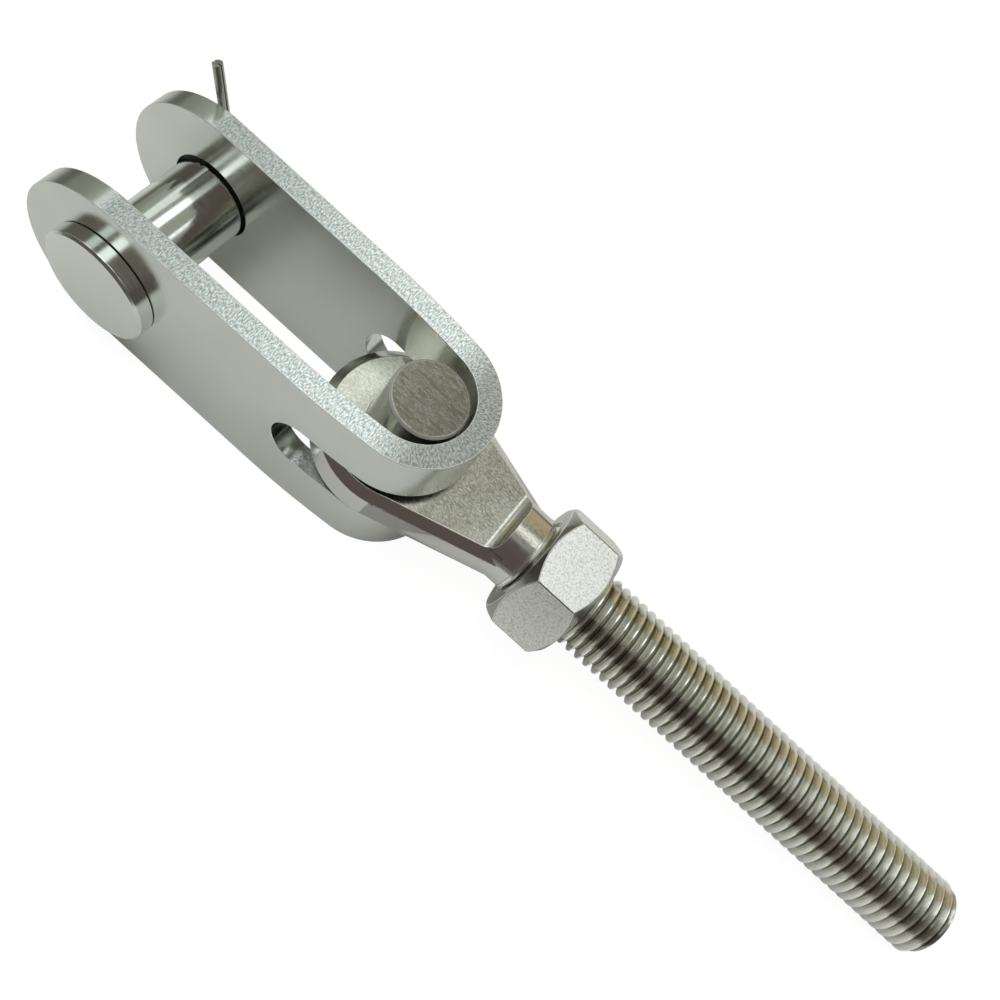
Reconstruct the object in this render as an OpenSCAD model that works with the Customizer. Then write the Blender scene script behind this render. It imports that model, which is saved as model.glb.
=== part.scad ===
// Toggle jaw stud terminal in stainless steel.
// A flat strap is folded into a long jaw. A headed clevis pin with a split pin closes its open end.
// The round eye of a threaded stud is held in the fold by a plain cross pin, and carries a hex nut.
// Frame: the origin is on the axis of the clevis holes, midway between the ears.
// +X runs along the strap towards the stud, +Y along the clevis holes, +Z up.
// The terminal lies as it comes to rest: the strap on its lower cut edge, the stud's tip on the floor.

/* [Strap] */
// Width of the flat plate the strap is folded from
strap_w = 44.5; // [36:0.5:60]
// Thickness of the plate
strap_t = 5.3; // [3:0.1:7]
// Clear gap between the two ears
jaw_gap = 25.6; // [24:0.2:36]
// Distance from the clevis holes to the centre of the fold
fold_x = 65.7; // [55:0.1:100]
// Clearance between the cross pin and the inside of the fold
fold_play = 2.9; // [2:0.1:3.4]
// Radius of the long shallow curves that draw the legs in towards the fold
leg_curve_r = 220; // [150:5:400]

/* [Slot for the stud] */
// Clearance above and below the eye in the slot
slot_play = 2; // [1.8:0.1:3]
// Distance from the centre of the fold back to the centre of the slot's round end
slot_back = 12; // [10:0.5:20]

/* [Clevis pin] */
// Diameter of the clevis pin
clevis_d = 19.05; // [12:0.05:22]
// Radial clearance of the clevis pin in the ears
clevis_play = 0.65; // [0.4:0.05:1]
// Distance the clevis pin drops in its holes
clevis_drop = 0.35; // [0.1:0.05:0.38]
// Diameter of the clevis pin's head
head_d = 26.9; // [24:0.1:34]
// Thickness of the clevis pin's head
head_t = 3.9; // [2:0.1:6]
// Chamfer round the clevis pin's head
head_chamfer = 0.6; // [0.2:0.1:1]
// Chamfer on the plain end of the clevis pin
tail_chamfer = 1.2; // [0.4:0.1:2]
// Gap between the head and the ear
head_gap = 0.15; // [0.05:0.05:0.3]
// Gap between the far ear and the split pin's loop
split_gap = 0.3; // [0.3:0.05:2]
// Length of the clevis pin past the split pin
tail_len = 4; // [3:0.1:6]

/* [Split pin] */
// Diameter over the split pin's two legs
split_d = 2.3; // [2:0.1:2.8]
// Radial clearance of the split pin in its hole
split_play = 0.2; // [0.1:0.05:0.4]
// Slit between the split pin's two legs
split_slit = 0.3; // [0.1:0.05:0.4]
// Length of the legs past the clevis pin's surface
split_reach = 21.3; // [12:0.1:30]
// Outside radius of the split pin's loop
split_loop_r = 1.9; // [1.8:0.1:2.5]
// Lean of the split pin from upright, towards the jaw's mouth
split_lean = 18; // [0:0.5:45]
// Turn of the slit about the split pin's own length
split_turn = 85; // [-90:5:90]

/* [Cross pin] */
// Diameter of the cross pin
cross_d = 17.4; // [14:0.1:18]
// Chamfer on both ends of the cross pin
cross_chamfer = 0.6; // [0.2:0.1:1]
// Radial clearance of the cross pin in the eye
cross_fit = 0.02; // [0.01:0.01:0.04]

/* [Eye] */
// Outside diameter of the eye
eye_d = 36.8; // [32:0.1:40]
// Thickness of the eye
eye_t = 10.6; // [8:0.1:11]
// Width of the slanted edge of the eye and neck, seen from above
edge_w = 2.1; // [1:0.1:2.8]
// Depth of the slanted edge of the eye and neck
edge_h = 1.8; // [1:0.1:3]

/* [Neck] */
// Angle of each side of the flat neck to the stud's axis
taper_angle = 17; // [15:0.5:21]
// Diameter of the round neck
neck_d = 18.8; // [17:0.1:18.9]
// Distance from the eye's centre to the end of the flat faces
flat_end = 28.7; // [27:0.1:32]
// Radius of the scooped step at the end of each flat face
scoop_r = 2.7; // [1.5:0.1:3.2]

/* [Thread] */
// Outside diameter of the thread
thread_d = 19.05; // [18.9:0.05:21]
// Distance from the eye's centre to the start of the thread
thread_start = 37.4; // [36.5:0.1:40]
// Length of the thread
thread_len = 124.6; // [70:0.1:160]
// Chamfer at the tip of the thread
tip_chamfer = 1.3; // [0.6:0.1:2]

/* [Nut] */
// Width across the flats of the nut
nut_af = 28.7; // [27:0.1:32]
// Thickness of the nut
nut_t = 14.9; // [12:0.1:20]
// Distance from the start of the thread to the nut
nut_gap = 1.3; // [0.5:0.1:6]
// Diameter of the flat ring left on each end of the nut
nut_face_d = 27.6; // [26.4:0.1:28]
// Angle of the slanted edge on the nut's corners
nut_edge_angle = 42; // [15:1:45]
// Radial clearance of the nut on the thread
nut_fit = 0.05; // [0.02:0.01:0.08]
// Countersink at each mouth of the nut
nut_sink = 0.8; // [0.3:0.1:1.2]
// Turn of the nut about the stud
nut_turn = 35.5; // [0:0.5:60]

/* [Pose] */
// Swing of the stud in the plane of the slot
stud_swing = 2.2; // [-10:0.1:10]
// Distance of the eye's centre past the centre of the fold
eye_x = 0.6; // [0:0.1:0.8]

/* [Hidden] */
$fn = 96;
fine_fn = 192;
over = 1;

ear_r = strap_w / 2;
half_gap = jaw_gap / 2;
clevis_r = clevis_d / 2;
ear_hole_r = clevis_r + clevis_play;
cross_r = cross_d / 2;
fold_r = cross_r + fold_play;
slot_h = eye_t + 2 * slot_play;

// The leg curves start at curve_x, parallel to the legs, and run into the fold at curve_angle.
// The fold's circle is a hair larger than the one that only touches them, so that the two cross.
fold_swell = 0.03;
curve_y = leg_curve_r - half_gap;
curve_dx = sqrt(pow(leg_curve_r - fold_r, 2) - pow(curve_y, 2));
curve_x = fold_x - curve_dx;
curve_angle = atan2(curve_y, curve_dx);

ear_face_y = half_gap + strap_t;
split_y = ear_face_y + split_gap + split_loop_r;
clevis_end_y = split_y + split_d / 2 + tail_len;
split_hole_r = split_d / 2 + split_play;

eye_r = eye_d / 2;
neck_r = neck_d / 2;
thread_r = thread_d / 2;
stud_end = thread_start + thread_len;
scoop_end = flat_end + scoop_r;

// The neck's sides leave the eye a hair inside its tangents, and their slanted edges are cut
// a hair deeper than the eye's, so that the two shapes cross cleanly.
tangent_sink = 0.04;
neck_edge_h = edge_h + 0.06;
neck_edge_w = edge_w * neck_edge_h / edge_h;
tangent_x = (eye_r - tangent_sink) * sin(taper_angle);
tangent_y = (eye_r - tangent_sink) * cos(taper_angle);
plate_end_y = neck_r - edge_w / 2;
plate_end = tangent_x + (tangent_y - plate_end_y) / tan(taper_angle);

// The flat faces are cut last, so the shapes below them are drawn this much too tall.
uncut_h = eye_t / 2 + over;
uncut_edge_w = edge_w * (edge_h + over) / edge_h;

nut_start = thread_start + nut_gap;
nut_corner_r = nut_af / 2 / cos(30);
nut_cone_h = (nut_corner_r - nut_face_d / 2) * tan(nut_edge_angle);

// The stud sags until the edge of its tip is level with the strap's lower cut edge.
stud_sag = asin((ear_r - thread_r) / (stud_end - tip_chamfer));

toggle_strap();
clevis_pin();
split_pin();
cross_pin();
eye_stud();
lock_nut();

// Lays a shape drawn along Z down along Y.
module along_y() {
    rotate([-90, 0, 0]) children();
}

// Lays a shape drawn along Z down along X.
module along_x() {
    rotate([0, 90, 0]) children();
}

// Moves a shape from the stud's own frame, eye at the origin and thread along X, to its place.
module in_stud_pose() {
    translate([fold_x + eye_x, 0, 0])
        rotate([0, stud_sag, stud_swing])
            children();
}

// A round bar along Z with a chamfer at each end.
module chamfered_bar(r, length, low_chamfer, high_chamfer) {
    rotate_extrude($fn = fine_fn)
        polygon([
            [0, 0],
            [r - low_chamfer, 0],
            [r, low_chamfer],
            [r, length - high_chamfer],
            [r - high_chamfer, length],
            [0, length]
        ]);
}

// Plan of the jaw at a distance outside its inner face: parallel legs, long curves, round fold.
module jaw_plan(outset, mouth_x) {
    half = half_gap + outset;
    join_x = fold_x + (fold_r + outset) * cos(curve_angle);
    translate([mouth_x, -half])
        square([curve_x - mouth_x, 2 * half]);
    intersection() {
        translate([curve_x, -curve_y])
            circle(r = leg_curve_r + outset, $fn = 4 * fine_fn);
        translate([curve_x, curve_y])
            circle(r = leg_curve_r + outset, $fn = 4 * fine_fn);
        translate([curve_x - over, -half - over])
            square([join_x - curve_x + over, 2 * (half + over)]);
    }
    translate([fold_x, 0])
        circle(r = fold_r + outset + fold_swell, $fn = fine_fn);
}

// Side view of the strap: round ears at the clevis holes, square to the fold.
module strap_side() {
    reach = 2 * ear_face_y + 2 * over;
    translate([0, -reach / 2, 0])
        along_y() cylinder(r = ear_r, h = reach, $fn = fine_fn);
    translate([0, -reach / 2, -ear_r])
        cube([fold_x + fold_r + strap_t + over, reach, strap_w]);
}

// Slot across the fold and along both legs, with a round end in each leg.
module stud_slot() {
    reach = 2 * ear_face_y + 2 * over;
    slot_x = fold_x - slot_back;
    translate([slot_x, -reach / 2, 0])
        along_y() cylinder(r = slot_h / 2, h = reach);
    translate([slot_x, -reach / 2, -slot_h / 2])
        cube([slot_back + fold_r + strap_t + over, reach, slot_h]);
}

module toggle_strap() {
    color([0.78, 0.79, 0.77])
        difference() {
            intersection() {
                translate([0, 0, -ear_r])
                    linear_extrude(height = strap_w)
                        difference() {
                            jaw_plan(strap_t, -ear_r);
                            jaw_plan(0, -ear_r - over);
                        }
                strap_side();
            }
            translate([0, -ear_face_y - over, 0])
                along_y() cylinder(r = ear_hole_r, h = 2 * (ear_face_y + over), $fn = fine_fn);
            stud_slot();
        }
}

// Moves a shape drawn along Z, from the clevis pin's axis, to the split pin's place and lean.
module in_split_pose() {
    translate([0, split_y, -clevis_drop])
        rotate([0, -split_lean, 0])
            children();
}

module clevis_pin() {
    shank_y = -ear_face_y - head_gap;
    color([0.66, 0.67, 0.66])
        difference() {
            translate([0, shank_y, -clevis_drop])
                along_y() {
                    chamfered_bar(clevis_r, clevis_end_y - shank_y, 0, tail_chamfer);
                    translate([0, 0, -head_t])
                        chamfered_bar(head_d / 2, head_t, head_chamfer, 0);
                }
            in_split_pose()
                translate([0, 0, -clevis_r - over])
                    cylinder(r = split_hole_r, h = 2 * (clevis_r + over));
        }
}

// Two half-round legs side by side, joined by a loop of the same half-round wire.
module split_pin() {
    leg_top = clevis_r + split_reach;
    wire_r = split_d / 2;
    loop_z = -clevis_r - split_loop_r - split_play;
    color([0.6, 0.6, 0.58])
        in_split_pose()
            rotate([0, 0, split_turn])
                difference() {
                    union() {
                        translate([0, 0, loop_z + split_loop_r - wire_r])
                            cylinder(r = wire_r, h = leg_top - loop_z - split_loop_r + wire_r, $fn = 48);
                        translate([0, 0, loop_z])
                            along_y()
                                intersection() {
                                    rotate_extrude($fn = 64)
                                        translate([split_loop_r - wire_r / 2, 0])
                                            circle(r = wire_r, $fn = 32);
                                    translate([0, 0, -wire_r - over])
                                        cylinder(r = split_loop_r, h = 2 * (wire_r + over));
                                }
                    }
                    translate([0, 0, loop_z])
                        along_y()
                            translate([0, 0, -wire_r - over])
                                cylinder(r = split_loop_r - wire_r, h = 2 * (wire_r + over));
                    translate([-split_slit / 2, -wire_r - over, loop_z])
                        cube([split_slit, 2 * (wire_r + over), leg_top - loop_z + over]);
                }
}

module cross_pin() {
    color([0.55, 0.54, 0.5])
        in_stud_pose()
            translate([0, 0, -strap_w / 2])
                chamfered_bar(cross_r, strap_w, cross_chamfer, cross_chamfer);
}

// Round eye whose wall slants in towards both faces.
module eye_disc() {
    rotate_extrude($fn = fine_fn)
        polygon([
            [0, -uncut_h],
            [eye_r - uncut_edge_w, -uncut_h],
            [eye_r, -eye_t / 2 + edge_h],
            [eye_r, eye_t / 2 - edge_h],
            [eye_r - uncut_edge_w, uncut_h],
            [0, uncut_h]
        ]);
}

// Cuts the slanted edge along one side of one flat face of the neck.
module neck_edge_cut() {
    slant = atan2(neck_edge_h, neck_edge_w);
    translate([tangent_x, tangent_y, eye_t / 2 - neck_edge_h])
        rotate([0, 0, -taper_angle])
            rotate([-slant, 0, 0])
                translate([-eye_r, -eye_r, 0])
                    cube([3 * eye_r, 2 * eye_r, eye_t]);
}

// Flat neck whose sides leave the eye at a tangent and sink into the round neck.
module flat_neck() {
    difference() {
        translate([0, 0, -uncut_h])
            linear_extrude(height = 2 * uncut_h)
                polygon([
                    [0, 0],
                    [tangent_x, tangent_y],
                    [plate_end, plate_end_y],
                    [plate_end, -plate_end_y],
                    [tangent_x, -tangent_y]
                ]);
        for (side = [0, 1], face = [0, 1])
            mirror([0, side, 0])
                mirror([0, 0, face])
                    neck_edge_cut();
    }
}

// Clears the room above one flat face, with a scooped end where it runs out in the round neck.
module flat_cut() {
    room = eye_r + over;
    translate([0, room, 0])
        rotate([90, 0, 0])
            linear_extrude(height = 2 * room) {
                translate([-room, eye_t / 2])
                    square([room + flat_end, room]);
                translate([flat_end, eye_t / 2 + scoop_r])
                    circle(r = scoop_r);
                translate([0, eye_t / 2 + scoop_r])
                    square([scoop_end, room]);
            }
}

module eye_stud() {
    neck_from = flat_end - edge_w;
    start_chamfer = (thread_r - neck_r) * 2;
    color([0.6, 0.6, 0.56])
        in_stud_pose()
            difference() {
                union() {
                    eye_disc();
                    flat_neck();
                    translate([neck_from, 0, 0])
                        along_x() cylinder(r = neck_r, h = thread_start + over - neck_from, $fn = fine_fn);
                    translate([thread_start, 0, 0])
                        along_x() chamfered_bar(thread_r, thread_len, start_chamfer, tip_chamfer);
                }
                flat_cut();
                mirror([0, 0, 1]) flat_cut();
                translate([0, 0, -uncut_h - over])
                    cylinder(r = cross_r + cross_fit, h = 2 * (uncut_h + over), $fn = fine_fn);
            }
}

// Hex bar with both ends turned to a shallow cone.
module nut_blank() {
    intersection() {
        rotate([0, 0, nut_turn])
            cylinder(r = nut_corner_r, h = nut_t, $fn = 6);
        rotate_extrude($fn = fine_fn)
            polygon([
                [0, 0],
                [nut_face_d / 2, 0],
                [nut_corner_r + over, nut_cone_h + over * tan(nut_edge_angle)],
                [nut_corner_r + over, nut_t - nut_cone_h - over * tan(nut_edge_angle)],
                [nut_face_d / 2, nut_t],
                [0, nut_t]
            ]);
    }
}

module lock_nut() {
    bore_r = thread_r + nut_fit;
    color([0.8, 0.8, 0.78])
        in_stud_pose()
            translate([nut_start, 0, 0])
                along_x()
                    difference() {
                        nut_blank();
                        rotate_extrude($fn = fine_fn)
                            polygon([
                                [0, -over],
                                [bore_r + nut_sink + over, -over],
                                [bore_r, nut_sink],
                                [bore_r, nut_t - nut_sink],
                                [bore_r + nut_sink + over, nut_t + over],
                                [0, nut_t + over]
                            ]);
                    }
}
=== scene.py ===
"""Looks of the toggle jaw stud terminal: polished strap, pins, threaded eye stud and nut."""

import math

import bmesh
import bpy
from mathutils import Matrix, Vector

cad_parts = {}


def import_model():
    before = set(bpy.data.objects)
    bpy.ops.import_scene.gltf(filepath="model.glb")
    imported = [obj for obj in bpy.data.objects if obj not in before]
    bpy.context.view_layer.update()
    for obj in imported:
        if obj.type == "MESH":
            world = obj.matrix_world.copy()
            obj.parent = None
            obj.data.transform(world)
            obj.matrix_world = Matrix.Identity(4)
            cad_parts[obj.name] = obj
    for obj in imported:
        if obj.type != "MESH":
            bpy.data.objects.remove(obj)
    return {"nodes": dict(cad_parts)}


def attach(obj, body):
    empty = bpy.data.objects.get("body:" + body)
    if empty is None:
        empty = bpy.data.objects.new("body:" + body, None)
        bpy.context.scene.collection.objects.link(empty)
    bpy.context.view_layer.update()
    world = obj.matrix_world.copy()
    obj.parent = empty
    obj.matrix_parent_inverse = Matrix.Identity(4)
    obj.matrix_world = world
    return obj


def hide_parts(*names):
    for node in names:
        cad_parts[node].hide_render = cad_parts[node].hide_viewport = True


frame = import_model()
MM = 0.001

# Sizes of the solids, in mm
FOLD_X = 65.7            # centre of the fold, from the clevis holes
EYE_X = 0.6              # eye's centre, past the centre of the fold
STRAP_W = 44.5
FOLD_MID_R = 14.3        # middle of the plate's thickness, in the fold
BEND_START = -1          # where the bend's darker edge fades in, past the centre of the fold
BEND_FULL = 8
INSIDE_FADE = 1          # to either side of the plate's middle
EAR_HOLE_R = 10.175
THREAD_R = 9.525
THREAD_START = 37.4      # from the eye's centre, along the stud
THREAD_END = 162.0
TIP_CHAMFER = 1.3

# The stud's lie: swung a little in the slot, and down until its tip meets the floor
TIP_REST_X = THREAD_END - TIP_CHAMFER
STUD_SWING = math.radians(2.2)
STUD_SAG = math.asin((STRAP_W / 2 - THREAD_R) / TIP_REST_X)

# The thread: pitch and depth in mm, then its form in shares of the pitch
PITCH = 2.54
THREAD_DEPTH = 1.5
CREST = 0.125
FLANK = 0.3125
ROOT = 1 - CREST - 2 * FLANK
HOLLOW = 0.5 - (CREST + ROOT) / 2    # crest's middle to where the flank eases into the root
RUN_OUT = 0.7                        # length over which the thread starts
THREAD_STEPS = 96                    # round the rod
THREAD_SMOOTH_DEG = 20

# Roundings on the pieces' edges, in mm
STRAP_EDGE = 0.16
PIN_EDGE = 0.15
NUT_EDGE = 0.15
HEAD_EDGE = 0.12
WIRE_EDGE = 0.01
SLIVER = 0.2             # on two pieces, edges shorter than this are closed up first
ROUNDED_FROM_DEG = 25    # sharper edges are rounded
ROUNDED_STEPS = 2

# Mesh limits, lengths in mm
WELD = 0.002             # points of a solid nearer than this are one
TOUCH = 0.0001           # and so are the thread's and the cut head's nearer than this
FLAT_DEG = 0.4           # faces that lie this flat to each other are joined
SMOOTH_DEG = 30          # edges less sharp than this are shaded smooth
HEAD_GAP = 0.02          # the head ends this far before the thread starts
BORE_SLACK = 0.05        # on the radius, when a hole's wall is picked

# Most of a noise's values lie between these
NOISE_LOW = 0.3
NOISE_HIGH = 0.7

# The camera that matches the photo's outlines
CAMERA_MM = (91.139, -119.139, 233.736)
CAMERA_TURN_DEG = (21.4178, -18.5544, 38.7291)
CAMERA_LENS_MM = 43.967
CAMERA_SENSOR_MM = 36

# The floor, in mm, and its light
FLOOR_Z = -STRAP_W / 2
FLOOR_GAP = 0.02
FLOOR_HALF = 1500
NEAR_FLOOR_X = (-140, -50)   # the pale part fades in between these
NEAR_FLOOR_Y = (170, 90)
FLOOR_GLOW = 1.11
FLOOR_SEEN_GLOW = 0.85       # the glow's share to the camera
FLOOR_MIRRORED_GLOW = 0.06   # and at most to the metal

# The room's light strips, their fades as tangents of the angle off the zenith
STRIP_SIDE_FADE = 0.02
STRIP_END_FADE = 0.05
STRIP_LOWEST = 0.05      # a direction's height is never divided by less

# The softbox over the floor, in metres and watts
SOFTBOX_AT = (-0.05, -0.15, 1.0)
SOFTBOX_AIM = (0.075, 0.0, 0.0)
SOFTBOX_SIDE = 0.5
SOFTBOX_POWER = 2.3


# Small helpers
def clamp(value, low, high):
    return min(max(value, low), high)


def stud_matrix():
    """The stud's own frame, eye at the origin and thread along X, in the part's frame."""
    turn = Matrix.Rotation(STUD_SWING, 4, "Z") @ Matrix.Rotation(STUD_SAG, 4, "Y")
    return Matrix.Translation(Vector((FOLD_X + EYE_X, 0, 0)) * MM) @ turn


def new_object(name, bm, material):
    """An object of the mesh that was built in bm, all in one material."""
    mesh = bpy.data.meshes.new(name)
    bm.to_mesh(mesh)
    bm.free()
    mesh.materials.append(material)
    obj = bpy.data.objects.new(name, mesh)
    bpy.context.scene.collection.objects.link(obj)
    return obj


def welded(node, sliver_mm=0.0):
    """The node's solid as one closed mesh with flat faces joined, in the part's frame.

    Edges shorter than sliver_mm are then closed up, so that a rounding doesn't fold over them.
    """
    source = frame["nodes"][node]
    bm = bmesh.new()
    bm.from_mesh(source.data)
    bmesh.ops.transform(bm, matrix=source.matrix_world, verts=bm.verts)
    bmesh.ops.remove_doubles(bm, verts=bm.verts, dist=WELD * MM)
    flat = math.radians(FLAT_DEG)
    bmesh.ops.dissolve_limit(bm, angle_limit=flat, verts=bm.verts, edges=bm.edges)
    if sliver_mm:
        bmesh.ops.remove_doubles(bm, verts=bm.verts, dist=sliver_mm * MM)
    return bm


def shade(mesh, angle_deg=SMOOTH_DEG):
    """Smooth shading, with crisp edges where the faces meet more sharply than the angle."""
    mesh.polygons.foreach_set("use_smooth", [True] * len(mesh.polygons))
    mesh.set_sharp_from_angle(angle=math.radians(angle_deg))
    mesh.update()


def rounded(obj, width_mm, edge_material=None):
    """Small true roundings on the sharp edges, if need be in a material of their own: a painted
    highlight, and on the nut painted shade as well.
    """
    bevel = obj.modifiers.new("edge", "BEVEL")
    bevel.width = width_mm * MM
    bevel.segments = ROUNDED_STEPS
    bevel.limit_method = "ANGLE"
    bevel.angle_limit = math.radians(ROUNDED_FROM_DEG)
    bevel.use_clamp_overlap = False
    bevel.harden_normals = True
    bevel.miter_outer = "MITER_ARC"
    if edge_material:
        obj.data.materials.append(edge_material)
        bevel.material = len(obj.data.materials) - 1


# Node trees
class Tree:
    """Shorthand for building the nodes of a material or a world."""

    def __init__(self, owner):
        owner.use_nodes = True
        self.tree = owner.node_tree
        self.tree.nodes.clear()

    def add(self, kind, **values):
        """A new node, with its settings."""
        node = self.tree.nodes.new(kind)
        for key, value in values.items():
            setattr(node, key, value)
        return node

    def feed(self, socket, value):
        """Link a node's output to the socket, or write a plain number or colour there."""
        if isinstance(value, bpy.types.NodeSocket):
            self.tree.links.new(value, socket)
        elif socket.type == "RGBA":
            socket.default_value = (*value, 1)
        else:
            socket.default_value = value

    def math(self, operation, a, b=0.0):
        node = self.add("ShaderNodeMath", operation=operation)
        self.feed(node.inputs[0], a)
        self.feed(node.inputs[1], b)
        return node.outputs[0]

    def minus(self, value):
        return self.math("MULTIPLY", value, -1)

    def xyz(self, vector):
        """The three parts of a vector."""
        split = self.add("ShaderNodeSeparateXYZ")
        self.feed(split.inputs[0], vector)
        return split.outputs

    def remap(self, value, low, high, to_low=0, to_high=1, kind="LINEAR"):
        """The stretch from low to high laid on the one from to_low to to_high, and held past it."""
        node = self.add("ShaderNodeMapRange", interpolation_type=kind)
        self.feed(node.inputs["Value"], value)
        self.feed(node.inputs["From Min"], low)
        self.feed(node.inputs["From Max"], high)
        self.feed(node.inputs["To Min"], to_low)
        self.feed(node.inputs["To Max"], to_high)
        return node.outputs["Result"]

    def mix_colors(self, share, a, b):
        """Colour a, with that share of colour b."""
        node = self.add("ShaderNodeMix", data_type="RGBA")
        self.feed(node.inputs[0], share)
        self.feed(node.inputs[6], a)
        self.feed(node.inputs[7], b)
        return node.outputs[2]

    def mix(self, share, a, b):
        """Shader a, with that share of shader b."""
        node = self.add("ShaderNodeMixShader")
        self.feed(node.inputs[0], share)
        self.feed(node.inputs[1], a)
        self.feed(node.inputs[2], b)
        return node.outputs[0]


class Material(Tree):
    """One material's nodes. Coordinates and normals are the object's own, in metres."""

    def __init__(self, name):
        self.material = bpy.data.materials.new(name)
        super().__init__(self.material)

    def coords(self, scale=(1, 1, 1), rotation=(0, 0, 0)):
        mapping = self.add("ShaderNodeMapping")
        self.feed(mapping.inputs["Vector"], self.add("ShaderNodeTexCoord").outputs["Object"])
        self.feed(mapping.inputs["Scale"], scale)
        self.feed(mapping.inputs["Rotation"], rotation)
        return mapping.outputs["Vector"]

    def noise(self, vector, scale, detail, roughness):
        node = self.add("ShaderNodeTexNoise")
        self.feed(node.inputs["Vector"], vector)
        self.feed(node.inputs["Scale"], scale)
        self.feed(node.inputs["Detail"], detail)
        self.feed(node.inputs["Roughness"], roughness)
        return node.outputs["Fac"]

    def vary(self, noise, low, high):
        """A value from low to high that follows the noise."""
        return self.remap(noise, NOISE_LOW, NOISE_HIGH, low, high)

    def ramp(self, value, stops):
        """Colours that run through the stops, each a place and a colour."""
        node = self.add("ShaderNodeValToRGB")
        ramp = node.color_ramp
        while len(ramp.elements) < len(stops):
            ramp.elements.new(0.5)
        for element, (place, color) in zip(ramp.elements, stops):
            element.position = place
            element.color = (*color, 1)
        self.feed(node.inputs["Fac"], value)
        return node.outputs["Color"]

    def bump(self, height, strength, depth_mm):
        node = self.add("ShaderNodeBump")
        self.feed(node.inputs["Strength"], strength)
        self.feed(node.inputs["Distance"], depth_mm * MM)
        self.feed(node.inputs["Height"], height)
        return node.outputs["Normal"]

    def metal(self, color, roughness, normal=None):
        node = self.add("ShaderNodeBsdfPrincipled")
        self.feed(node.inputs["Metallic"], 1.0)
        self.feed(node.inputs["Base Color"], color)
        self.feed(node.inputs["Roughness"], roughness)
        if normal:
            self.feed(node.inputs["Normal"], normal)
        return node.outputs["BSDF"]

    def diffuse(self, color):
        node = self.add("ShaderNodeBsdfDiffuse")
        self.feed(node.inputs["Color"], color)
        return node.outputs[0]

    def past_fold(self, x):
        """How far x is past the fold's centre, and 0 before it."""
        return self.math("MAXIMUM", self.math("SUBTRACT", x, FOLD_X * MM), 0)

    def distance(self, a, b):
        """How far the point a, b is from the origin."""
        squares = self.math("ADD", self.math("MULTIPLY", a, a), self.math("MULTIPLY", b, b))
        return self.math("SQRT", squares)

    def along_strap(self, stretch):
        """Coordinates that follow the folded plate: along it, across its thickness, and the side."""
        x, y, _ = self.xyz(self.coords())
        past = self.past_fold(x)
        turn = self.math("ARCTAN2", past, self.math("ABSOLUTE", y))
        arc = self.math("MULTIPLY", turn, FOLD_MID_R * MM)
        along = self.math("ADD", self.math("MINIMUM", x, FOLD_X * MM), arc)
        across = self.math("DIVIDE", self.distance(past, y), stretch)
        vector = self.add("ShaderNodeCombineXYZ")
        self.feed(vector.inputs[0], along)
        self.feed(vector.inputs[1], across)
        self.feed(vector.inputs[2], self.math("SIGN", y))
        return vector.outputs[0]

    def bend_share(self):
        """0 on the strap's straight legs, 1 in its fold."""
        x = self.xyz(self.coords())["X"]
        return self.remap(x, (FOLD_X + BEND_START) * MM, (FOLD_X + BEND_FULL) * MM)

    def inside_share(self):
        """1 on the strap's inner face in the fold, 0 on its outer face."""
        x, y, _ = self.xyz(self.coords())
        away = self.distance(self.past_fold(x), y)
        inner = (FOLD_MID_R - INSIDE_FADE) * MM
        outer = (FOLD_MID_R + INSIDE_FADE) * MM
        return self.remap(away, inner, outer, 1, 0)

    def facing(self, axis, low, high):
        """1 where the surface faces along that axis, either way, and 0 elsewhere.

        It fades between the cosines low and high.
        """
        normal = self.xyz(self.add("ShaderNodeTexCoord").outputs["Normal"])
        return self.remap(self.math("ABSOLUTE", normal[axis]), low, high)

    def finish(self, shader):
        self.feed(self.add("ShaderNodeOutputMaterial").inputs["Surface"], shader)
        return self.material


# Materials
def painted_edge_highlight():
    """Corners painted bright: a painted highlight on the rounded edges."""
    bright = (0.94, 0.96, 0.95)
    n = Material("painted_edge_highlight")
    fine = n.noise(n.coords(), scale=1200, detail=3, roughness=0.6)
    return n.finish(n.metal(bright, roughness=n.vary(fine, 0.25, 0.45)))


def strap_steel():
    """Polished faces with faint specks, the fold's inside brushed and painted darker as shade;
    sheared edges bright and grainy, darker in the bend.
    """
    face_tones = [(0.35, (0.68, 0.71, 0.67)), (0.65, (0.76, 0.78, 0.74))]
    edge_tones = [(0.40, (0.36, 0.39, 0.38)), (0.60, (0.80, 0.84, 0.83))]
    bend_tones = [(0.38, (0.17, 0.17, 0.15)), (0.62, (0.40, 0.41, 0.38))]
    fold_inside_shade = (0.40, 0.40, 0.36)
    n = Material("strap_steel")
    specks = n.noise(n.coords(), scale=900, detail=4, roughness=0.7)
    clouds = n.noise(n.coords(), scale=35, detail=3, roughness=0.5)
    specked = n.bump(specks, strength=0.08, depth_mm=0.02)
    outer = n.metal(n.ramp(clouds, face_tones), roughness=n.vary(specks, 0.14, 0.22), normal=specked)
    # The fold's inside: real brushed grain, and a darker colour that is painted shade in the fold
    brushed = n.noise(n.coords(scale=(1, 1, 0.08)), scale=1500, detail=3, roughness=0.6)
    lined = n.bump(brushed, strength=0.3, depth_mm=0.03)
    inner = n.metal(fold_inside_shade, roughness=n.vary(brushed, 0.3, 0.45), normal=lined)
    face = n.mix(n.math("MULTIPLY", n.bend_share(), n.inside_share()), outer, inner)
    grain = n.noise(n.along_strap(stretch=2.5), scale=3000, detail=4, roughness=0.7)
    color = n.mix_colors(n.bend_share(), n.ramp(grain, edge_tones), n.ramp(grain, bend_tones))
    torn = n.bump(grain, strength=0.5, depth_mm=0.06)
    edge = n.metal(color, roughness=n.remap(grain, 0.35, 0.65, 0.30, 0.20), normal=torn)
    sheared = n.facing("Z", low=0.985, high=0.998)
    return n.finish(n.mix(sheared, face, edge))


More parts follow.
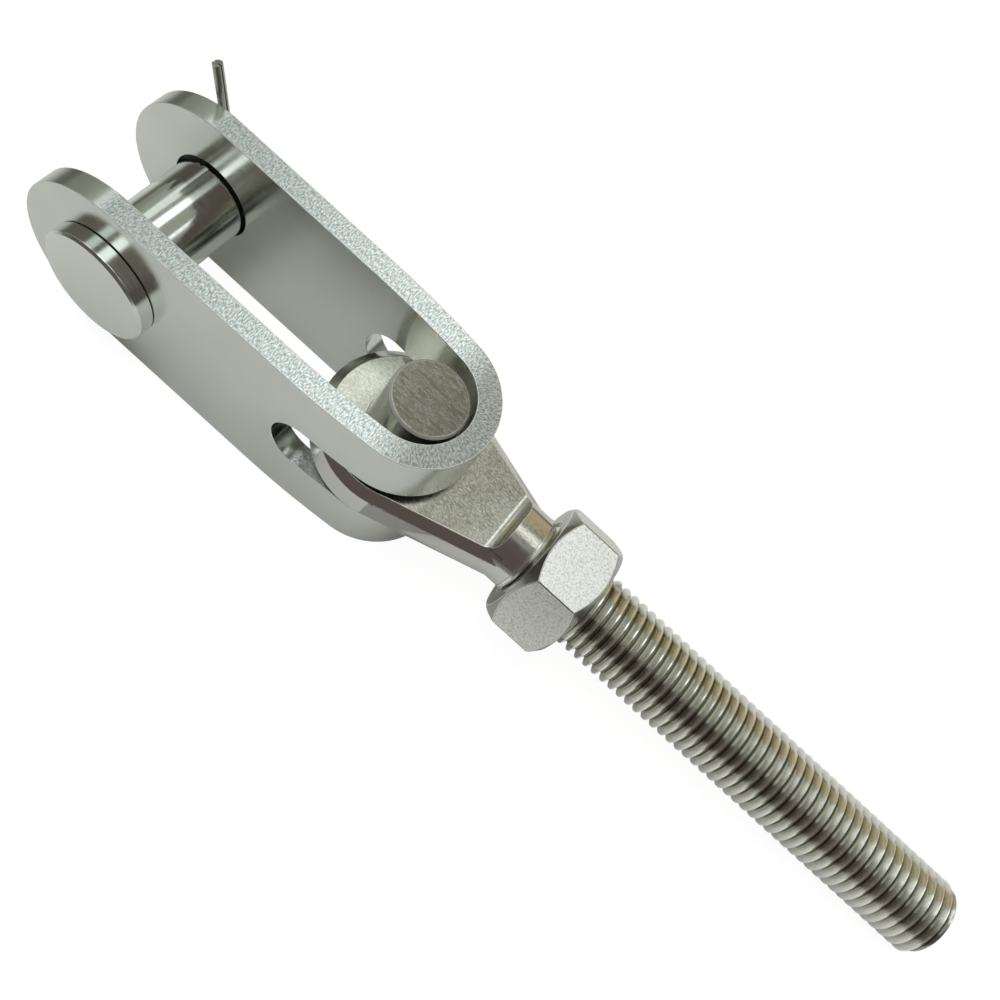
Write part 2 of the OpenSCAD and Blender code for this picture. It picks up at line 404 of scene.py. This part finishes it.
def bore_painted_shade():
    """Painted shade on the walls of the drilled holes: dark and rough."""
    dark = (0.10, 0.10, 0.09)
    n = Material("bore_painted_shade")
    fine = n.noise(n.coords(), scale=900, detail=3, roughness=0.6)
    return n.finish(n.metal(dark, roughness=n.vary(fine, 0.4, 0.5)))


def pin_steel():
    """Turned and polished, with fine rings round the pin."""
    polished = (0.78, 0.81, 0.76)
    n = Material("pin_steel")
    rings = n.noise(n.coords(scale=(0.15, 1, 0.15)), scale=1500, detail=3, roughness=0.6)
    ringed = n.bump(rings, strength=0.06, depth_mm=0.02)
    return n.finish(n.metal(polished, roughness=n.vary(rings, 0.10, 0.18), normal=ringed))


def cross_pin_steel():
    """Bright side, with a painted highlight on the rims; the ends brown and scratched."""
    side_color = (0.66, 0.66, 0.64)
    rim_highlight = (0.95, 0.95, 0.93)
    scratch_tones = [
        (0.485, (0.17, 0.165, 0.13)),
        (0.50, (0.50, 0.51, 0.46)),
        (0.515, (0.20, 0.19, 0.15)),
    ]
    n = Material("cross_pin_steel")
    fine = n.noise(n.coords(), scale=900, detail=5, roughness=0.7)
    smooth = n.bump(fine, strength=0.06, depth_mm=0.02)
    side = n.metal(side_color, roughness=n.vary(fine, 0.12, 0.2), normal=smooth)
    slanted = n.coords(scale=(1, 5, 1), rotation=(0, 0, 0.5))
    lines = n.noise(slanted, scale=190, detail=7, roughness=0.75)
    color = n.ramp(lines, scratch_tones)
    scratched = n.bump(lines, strength=0.25, depth_mm=0.06)
    end = n.metal(color, roughness=n.vary(fine, 0.2, 0.34), normal=scratched)
    # The chamfered rims are painted bright: a painted highlight
    at_rims = n.facing("Z", low=0.25, high=0.35)
    edged = n.mix(at_rims, side, n.metal(rim_highlight, roughness=0.5))
    at_ends = n.facing("Z", low=0.93, high=0.97)
    return n.finish(n.mix(at_ends, edged, end))


def wire_steel():
    """Drawn wire with fine lines along it."""
    grey = (0.5, 0.5, 0.46)
    n = Material("wire_steel")
    fine = n.noise(n.coords(scale=(1, 1, 0.1)), scale=1500, detail=3, roughness=0.6)
    drawn = n.bump(fine, strength=0.2, depth_mm=0.02)
    return n.finish(n.metal(grey, roughness=n.vary(fine, 0.25, 0.4), normal=drawn))


def stud_steel():
    """Flat faces brownish and finely grained; the turned and forged sides bright."""
    flat_tones = [(0.42, (0.40, 0.39, 0.32)), (0.58, (0.68, 0.69, 0.62))]
    side_color = (0.7, 0.7, 0.67)
    n = Material("stud_steel")
    slanted = n.coords(scale=(0.35, 1, 1), rotation=(0, 0, 0.9))
    grain = n.noise(slanted, scale=3600, detail=4, roughness=0.7)
    clouds = n.noise(n.coords(), scale=90, detail=3, roughness=0.55)
    blend = n.math("ADD", n.math("MULTIPLY", grain, 0.7), n.math("MULTIPLY", clouds, 0.3))
    grained = n.bump(grain, strength=0.3, depth_mm=0.03)
    flat = n.metal(n.ramp(blend, flat_tones), roughness=n.vary(grain, 0.16, 0.26), normal=grained)
    fine = n.noise(n.coords(), scale=700, detail=3, roughness=0.6)
    smooth = n.bump(fine, strength=0.06, depth_mm=0.02)
    side = n.metal(side_color, roughness=n.vary(fine, 0.1, 0.18), normal=smooth)
    on_flats = n.facing("Z", low=0.93, high=0.98)
    return n.finish(n.mix(on_flats, side, flat))


def thread_steel():
    """Colour by height: painted shade makes the roots dark olive, a painted highlight makes the
    crests bright.
    """
    root_shade_to_crest_highlight = [
        (0.04, (0.12, 0.12, 0.08)),
        (0.25, (0.66, 0.65, 0.56)),
        (0.95, (0.97, 0.98, 0.96)),
    ]
    n = Material("thread_steel")
    lift = n.add("ShaderNodeAttribute", attribute_name="lift").outputs["Fac"]
    fine = n.noise(n.coords(), scale=900, detail=4, roughness=0.6)
    # Painted shade in the roots and a painted highlight on the crests, by height on the thread
    color = n.ramp(lift, root_shade_to_crest_highlight)
    cut = n.bump(fine, strength=0.12, depth_mm=0.03)
    return n.finish(n.metal(color, roughness=n.vary(fine, 0.16, 0.28), normal=cut))


def nut_edge_shade_and_highlight():
    """Painted shade as dark lines between the nut's flats; painted highlights as bright curved rims
    where the chamfers cut them.
    """
    dark = (0.05, 0.05, 0.045)
    bright = (0.96, 0.97, 0.96)
    n = Material("nut_edge_shade_and_highlight")
    between = n.metal(dark, roughness=0.5)
    rim = n.metal(bright, roughness=0.35)
    at_rims = n.facing("X", low=0.12, high=0.18)
    return n.finish(n.mix(at_rims, between, rim))


def nut_steel():
    """Flats bright and finely pitted; the turned faces darker."""
    pit_tones = [(0.36, (0.64, 0.65, 0.63)), (0.56, (1.0, 1.0, 0.98))]
    turned_color = (0.42, 0.42, 0.39)
    n = Material("nut_steel")
    pits = n.noise(n.coords(), scale=2000, detail=3, roughness=0.7)
    pitted = n.bump(pits, strength=0.7, depth_mm=0.10)
    flats = n.metal(n.ramp(pits, pit_tones), roughness=n.vary(pits, 0.24, 0.40), normal=pitted)
    turned = n.metal(turned_color, roughness=0.2)
    at_ends = n.facing("X", low=0.3, high=0.45)
    return n.finish(n.mix(at_ends, flats, turned))


# Pieces
def piece(node, body, material, edge_mm, edge_material=None, sliver_mm=0.0):
    """A finished copy of one solid, with small roundings, standing for its node."""
    obj = new_object(node + "_finished", welded(node, sliver_mm), material)
    shade(obj.data)
    rounded(obj, edge_mm, edge_material)
    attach(obj, body)
    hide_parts(node)
    return obj


def strap(edge_material):
    """The folded strap, with painted shade on the walls of its clevis holes."""
    obj = piece("toggle_strap", "toggle", strap_steel(), STRAP_EDGE, edge_material)
    # The clevis holes' walls get the painted shade
    obj.data.materials.append(bore_painted_shade())
    bore_shade = len(obj.data.materials) - 1
    for face in obj.data.polygons:
        from_axis = math.hypot(face.center.x, face.center.z) / MM
        is_wall = abs(face.normal.y) < 0.5
        if is_wall and from_axis < EAR_HOLE_R + BORE_SLACK:
            face.material_index = bore_shade


def thread_radius(x, turn):
    """Radius of the threaded rod at x along the stud, turn turns round it."""
    phase = (x / PITCH - turn) % 1.0
    from_root = abs(phase - 0.5) * 2
    lift = clamp((from_root - ROOT) / (1 - CREST - ROOT), 0, 1)
    fade = clamp((x - THREAD_START) / (RUN_OUT * PITCH), 0, 1)
    radius = THREAD_R - THREAD_DEPTH * (1 - lift) * fade
    chamfer = THREAD_R - max(x - TIP_REST_X, 0)
    return min(radius, chamfer)


def thread_column(bm, rows, turn):
    """One line of points along the thread, turn turns round it."""
    angle = 2 * math.pi * turn
    column = []
    for row in rows:
        x = clamp((row + turn) * PITCH, THREAD_START, THREAD_END)
        r = thread_radius(x, turn)
        place = (x * MM, -r * MM * math.cos(angle), -r * MM * math.sin(angle))
        column.append(bm.verts.new(place))
    return column


def mark_lift(bm):
    """Give each point its height on the thread, 0 in the root and 1 on the crest; the thread's
    painted shade and highlight follow it.
    """
    lift = bm.verts.layers.float.new("lift")
    for vert in bm.verts:
        radius = math.hypot(vert.co.y, vert.co.z) / MM
        vert[lift] = (radius - THREAD_R) / THREAD_DEPTH + 1


def thread_mesh():
    """The helical thread as rows that follow its crests and roots, closed at both ends."""
    steps = THREAD_STEPS
    corners = (0.0, CREST / 2, HOLLOW, 0.5, 1 - HOLLOW, 1 - CREST / 2)
    first = int(THREAD_START / PITCH) - 1
    last = int(THREAD_END / PITCH) + 1
    rows = [pitches + corner for pitches in range(first, last + 1) for corner in corners]
    bm = bmesh.new()
    columns = [thread_column(bm, rows, step / steps) for step in range(steps + 1)]
    for left, right in zip(columns, columns[1:]):
        for i in range(len(rows) - 1):
            bm.faces.new((left[i], left[i + 1], right[i + 1], right[i]))
    for end, x in ((0, THREAD_START), (-1, THREAD_END)):
        centre = bm.verts.new((x * MM, 0, 0))
        for left, right in zip(columns, columns[1:]):
            bm.faces.new((left[end], right[end], centre))
    bmesh.ops.remove_doubles(bm, verts=bm.verts, dist=TOUCH * MM)
    bmesh.ops.recalc_face_normals(bm, faces=bm.faces)
    mark_lift(bm)
    return bm


def stud_head_mesh(place):
    """The stud's solid up to the start of its thread, closed there."""
    bm = welded("eye_stud")
    cut = bmesh.ops.bisect_plane(
        bm,
        geom=list(bm.verts) + list(bm.edges) + list(bm.faces),
        dist=TOUCH * MM,
        plane_co=place @ Vector(((THREAD_START - HEAD_GAP) * MM, 0, 0)),
        plane_no=place.to_3x3() @ Vector((1, 0, 0)),
        clear_outer=True,
    )
    rim = [e for e in cut["geom_cut"] if isinstance(e, bmesh.types.BMEdge)]
    bmesh.ops.contextual_create(bm, geom=rim)
    return bm


def eye_stud(edge_material):
    """The stud's eye and neck from its solid, with the true thread in place of the plain rod."""
    place = stud_matrix()
    head = new_object("eye_stud_head", stud_head_mesh(place), stud_steel())
    shade(head.data)
    rounded(head, HEAD_EDGE, edge_material)
    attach(head, "stud")
    thread = new_object("eye_stud_thread", thread_mesh(), thread_steel())
    thread.data.transform(place)
    shade(thread.data, THREAD_SMOOTH_DEG)
    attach(thread, "stud")
    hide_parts("eye_stud")


# Studio
def floor():
    """White floor with a faint shadow to the camera; the metal mirrors it grey, darker far off."""
    far_color = (0.2, 0.2, 0.17)
    near_color = (0.84, 0.84, 0.83)
    n = Material("floor")
    x, y, _ = n.xyz(n.coords())
    along = n.remap(x, *[v * MM for v in NEAR_FLOOR_X])
    beside = n.remap(n.math("ABSOLUTE", y), *[v * MM for v in NEAR_FLOOR_Y])
    near = n.math("MULTIPLY", along, beside)
    lamp = n.add("ShaderNodeEmission")
    n.feed(lamp.inputs["Color"], (1, 1, 1))
    n.feed(lamp.inputs["Strength"], FLOOR_GLOW)
    glow = lamp.outputs[0]
    tinted = n.diffuse(n.ramp(near, [(0, far_color), (1, near_color)]))
    mirrored = n.mix(n.math("MULTIPLY", near, FLOOR_MIRRORED_GLOW), tinted, glow)
    seen = n.mix(FLOOR_SEEN_GLOW, n.diffuse(near_color), glow)
    from_camera = n.add("ShaderNodeLightPath").outputs["Is Camera Ray"]
    material = n.finish(n.mix(from_camera, mirrored, seen))
    bm = bmesh.new()
    bmesh.ops.create_grid(bm, x_segments=1, y_segments=1, size=FLOOR_HALF * MM)
    bmesh.ops.translate(bm, verts=bm.verts, vec=(0, 0, (FLOOR_Z - FLOOR_GAP) * MM))
    obj = new_object("floor", bm, material)


class Room(Tree):
    """The room as the metal mirrors it: colour by direction, built from soft masks."""

    def __init__(self, color):
        studio = bpy.data.worlds.new("studio")
        bpy.context.scene.world = studio
        super().__init__(studio)
        self.x, self.y, self.z = self.xyz(self.add("ShaderNodeTexCoord").outputs["Generated"])
        self.color = color

    def rise(self, value, low, high):
        """0 below low, 1 above high, smooth between."""
        return self.remap(value, low, high, kind="SMOOTHSTEP")

    def step(self, value, at, fade):
        """0 before at, 1 past it, smooth over fade to either side."""
        return self.rise(value, at - fade, at + fade)

    def paint(self, color, mask):
        """Lay the colour over what is there, where the mask is 1."""
        self.color = self.mix_colors(mask, self.color, color)

    def strip(self, across, half_width, start, end, color):
        """A strip in the ceiling at x / z = across, from y / z = start to end."""
        above = self.math("MAXIMUM", self.z, STRIP_LOWEST)
        u = self.math("DIVIDE", self.x, above)
        v = self.math("DIVIDE", self.y, above)
        off = self.math("ABSOLUTE", self.math("SUBTRACT", u, across))
        inside = self.step(self.minus(off), -half_width, STRIP_SIDE_FADE)
        after = self.step(v, start, STRIP_END_FADE)
        before = self.step(self.minus(v), -end, STRIP_END_FADE)
        self.paint(color, self.math("MULTIPLY", inside, self.math("MULTIPLY", after, before)))

    def background(self, color):
        node = self.add("ShaderNodeBackground")
        self.feed(node.inputs["Color"], color)
        return node.outputs[0]

    def finish(self):
        """White to the camera, and the painted room to everything else."""
        from_camera = self.add("ShaderNodeLightPath").outputs["Is Camera Ray"]
        both = self.mix(from_camera, self.background(self.color), self.background((1, 1, 1)))
        self.feed(self.add("ShaderNodeOutputWorld").inputs["Surface"], both)


def world():
    """Grey room with four light strips in its ceiling, maroon behind the camera, beige ahead."""
    room = Room(color=(0.26, 0.26, 0.23))
    past_jaw = room.minus(room.x)
    past_tip = room.x
    ahead = room.y
    behind = room.minus(room.y)
    # Each direction, how far it fades in from and is full at, and its colour
    walls = (
        (room.z, 0.5, 0.7, (0.32, 0.32, 0.28)),
        (past_jaw, 0.45, 0.65, (0.34, 0.36, 0.31)),
        (past_jaw, 0.70, 0.92, (0.24, 0.25, 0.20)),
        (past_tip, 0.80, 0.92, (0.07, 0.07, 0.06)),
        (ahead, 0.58, 0.72, (0.50, 0.42, 0.26)),
        (behind, 0.26, 0.42, (0.115, 0.095, 0.085)),
    )
    for direction, low, high, color in walls:
        room.paint(color, room.rise(direction, low, high))
    room.strip(across=-0.84, half_width=0.26, start=-0.8, end=0.95, color=(0.84, 0.90, 0.88))
    room.strip(across=-0.14, half_width=0.18, start=-0.7, end=1.1, color=(1.42, 1.50, 1.48))
    room.strip(across=0.27, half_width=0.15, start=0.05, end=0.43, color=(1.52, 1.56, 1.54))
    room.strip(across=0.82, half_width=0.14, start=0.0, end=0.9, color=(1.25, 1.32, 1.30))
    room.finish()


def softbox():
    """Lights the floor softly from above, so that what the metal mirrors of it has soft shadows.

    The metal doesn't mirror the lamp itself.
    """
    light = bpy.data.lights.new("overhead", "AREA")
    light.shape = "SQUARE"
    light.size = SOFTBOX_SIDE
    light.energy = SOFTBOX_POWER
    obj = bpy.data.objects.new("overhead", light)
    obj.location = SOFTBOX_AT
    aim = Vector(SOFTBOX_AIM) - Vector(SOFTBOX_AT)
    obj.rotation_euler = aim.to_track_quat("-Z", "Y").to_euler()
    obj.visible_glossy = False
    bpy.context.scene.collection.objects.link(obj)


def camera():
    """The photo's viewpoint."""
    data = bpy.data.cameras.new("camera")
    data.lens = CAMERA_LENS_MM
    data.sensor_width = CAMERA_SENSOR_MM
    obj = bpy.data.objects.new("camera", data)
    obj.location = Vector(CAMERA_MM) * MM
    obj.rotation_euler = [math.radians(a) for a in CAMERA_TURN_DEG]
    bpy.context.scene.collection.objects.link(obj)
    bpy.context.scene.camera = obj


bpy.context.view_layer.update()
# The rounded edges of the strap and the stud's head get a painted highlight
edge_highlight = painted_edge_highlight()
strap(edge_highlight)
piece("clevis_pin", "clevis", pin_steel(), PIN_EDGE, sliver_mm=SLIVER)
piece("split_pin", "clevis", wire_steel(), WIRE_EDGE)
piece("cross_pin", "stud", cross_pin_steel(), PIN_EDGE)
eye_stud(edge_highlight)
# The nut's rounded edges get painted shade between the flats and a painted highlight on the
# chamfers' rims
piece("lock_nut", "nut", nut_steel(), NUT_EDGE, nut_edge_shade_and_highlight(), SLIVER)
floor()
world()
softbox()
camera()
bpy.context.scene.view_settings.view_transform = "Standard"
